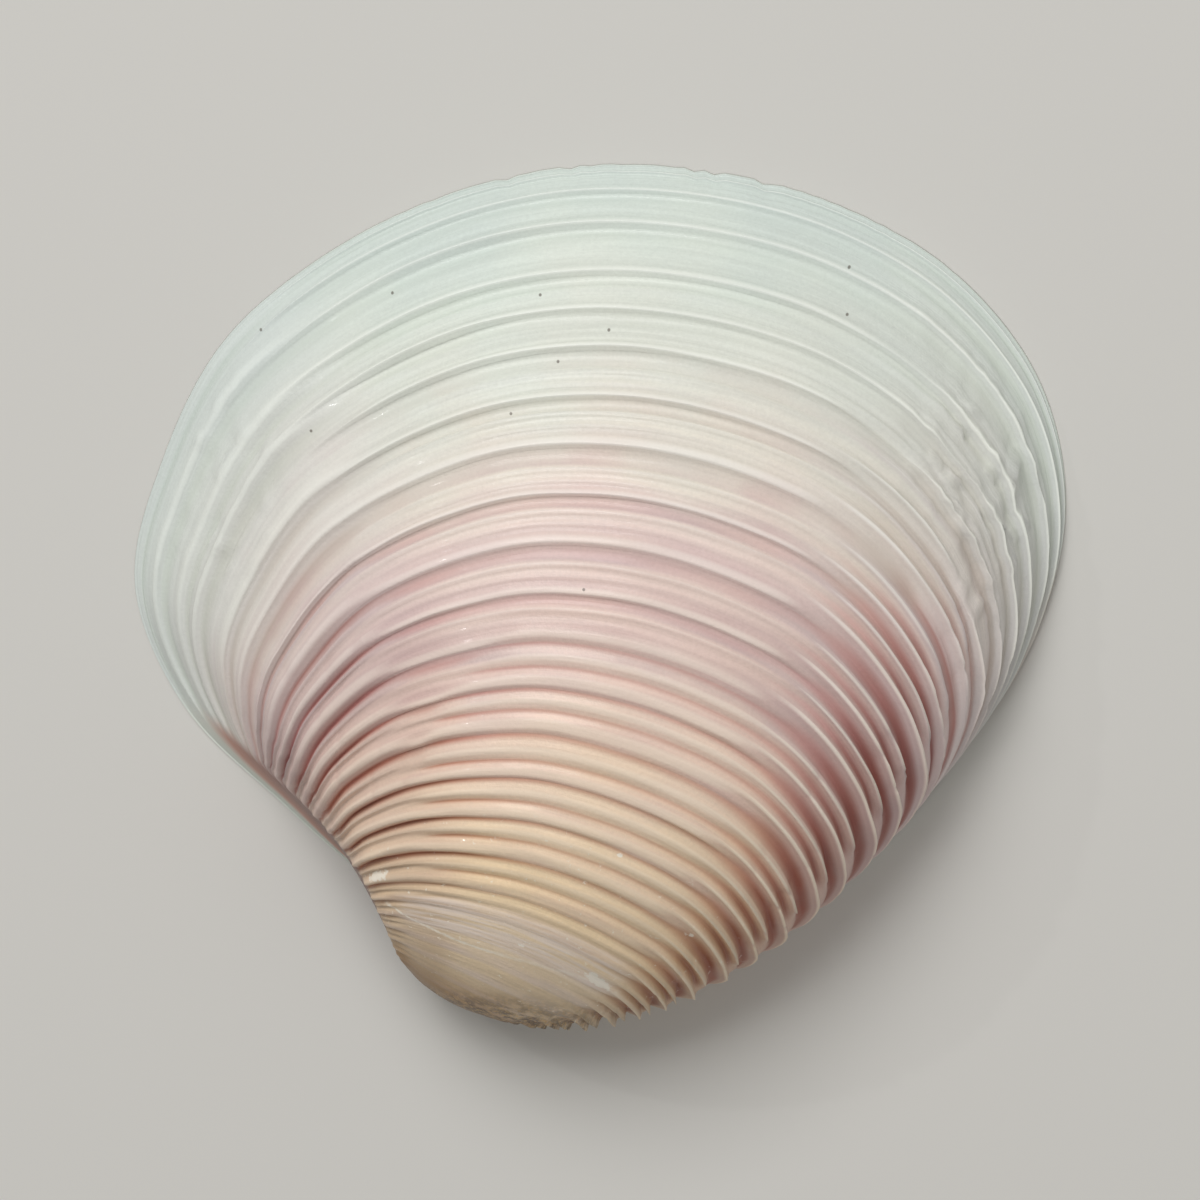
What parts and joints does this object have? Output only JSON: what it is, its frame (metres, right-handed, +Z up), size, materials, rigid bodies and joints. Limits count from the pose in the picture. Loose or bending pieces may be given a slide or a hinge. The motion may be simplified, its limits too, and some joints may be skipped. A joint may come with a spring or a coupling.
{
  "type": "venus clam shell valve",
  "caption": "Right valve of a ridged venus clam shell, lying on its rim with its ribbed outside up and its hollow side down.",
  "frame": {"origin": "on the table, under the middle of the valve's box", "axes": "+X toward the hind end, +Y from the beak to the ventral edge, +Z up out of the convex side"},
  "size_m": [0.044, 0.0408, 0.0125],
  "materials": {
    "shell": "satin aragonite: white to pale green-grey at the ventral edge, rose in the middle, peach toward the beak, red-brown in the grooves at both ends"
  },
  "bodies": {
    "root": {"valve": "shell"}
  },
  "joints": []
}
